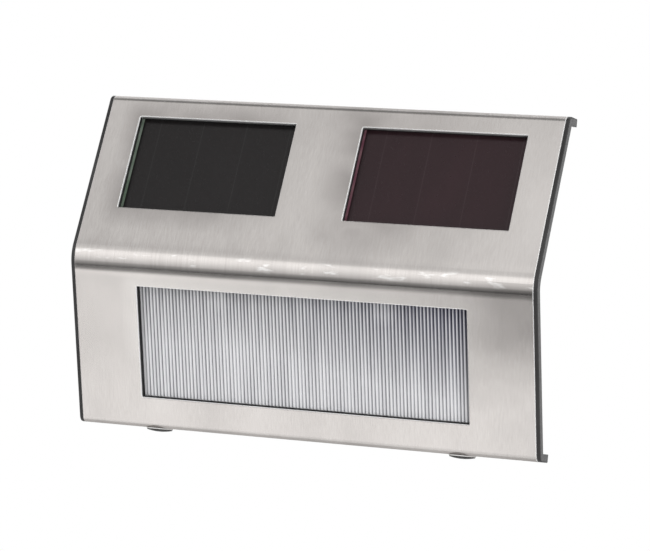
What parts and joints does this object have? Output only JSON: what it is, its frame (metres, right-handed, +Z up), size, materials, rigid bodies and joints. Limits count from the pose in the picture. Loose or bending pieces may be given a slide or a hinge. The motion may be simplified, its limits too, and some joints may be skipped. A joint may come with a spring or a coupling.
{
  "type": "fence light",
  "caption": "Wall-hung solar fence light: folded brushed-steel front with solar windows above a ribbed lens, on a plastic housing with keyholes, slide switch and battery door.",
  "frame": {"origin": "on the wall plane, midway between the centres of the two keyhole entries", "axes": "+X to the right seen from the front, -Y out of the front, +Y into the wall, +Z up"},
  "size_m": [0.183, 0.0308, 0.1253],
  "materials": {
    "stainless_steel": "brushed",
    "black_plastic": "fine texture",
    "cover_plastic": "fine texture",
    "seal_rubber": "matt",
    "solar_glass_left": "polished",
    "solar_glass_right": "polished",
    "clear_plastic": "ribbed, clear",
    "white_plastic": "satin",
    "led_resin": "clear",
    "circuit_board": "lacquered",
    "chip_resin": "matt",
    "ferrite": "matt",
    "capacitor_can": "satin",
    "dark_screw_steel": "blackened",
    "washer_steel": "plain",
    "zinc_screw_steel": "zinc plated",
    "cell_wrap": "shrink film",
    "contact_metal": "nickel plated",
    "spring_steel": "nickel plated",
    "switch_can": "plain",
    "knob_plastic": "satin",
    "red_wire": "satin",
    "black_wire": "satin",
    "white_wire": "satin"
  },
  "bodies": {
    "lamp": {"front_cover": "stainless_steel", "housing": "black_plastic", "rear_cover": "cover_plastic", "rear_gasket": "seal_rubber", "rear_cover_screws": "zinc_screw_steel", "front_cover_screws": "dark_screw_steel", "front_cover_washers": "washer_steel", "solar_panel_left": "solar_glass_left", "solar_panel_right": "solar_glass_right", "solar_seal_left": "seal_rubber", "solar_seal_right": "seal_rubber", "lens": "clear_plastic", "lens_seal": "seal_rubber", "reflector": "white_plastic", "led_board": "circuit_board", "led_left": "led_resin", "led_right": "led_resin", "main_board": "circuit_board", "controller_chip": "chip_resin", "boost_inductor": "ferrite", "filter_capacitor": "capacitor_can", "board_screws": "zinc_screw_steel", "switch_body": "switch_can", "battery_cell": "cell_wrap", "battery_contacts": "contact_metal", "battery_spring": "spring_steel", "solar_wires": "red_wire", "battery_wires": "black_wire", "led_wires": "white_wire"},
    "battery_door": {"battery_door": "cover_plastic", "battery_door_seal": "seal_rubber", "battery_door_screws": "zinc_screw_steel"},
    "switch_slider": {"switch_slider": "knob_plastic"}
  },
  "joints": [
    {"name": "battery_door_lift", "type": "slide", "parent": "lamp", "child": "battery_door", "axis": [0, 1, 0], "range_m": [0, 0.02]},
    {"name": "switch_slide", "type": "slide", "parent": "lamp", "child": "switch_slider", "axis": [1, 0, 0], "range_m": [0, 0.003]}
  ]
}
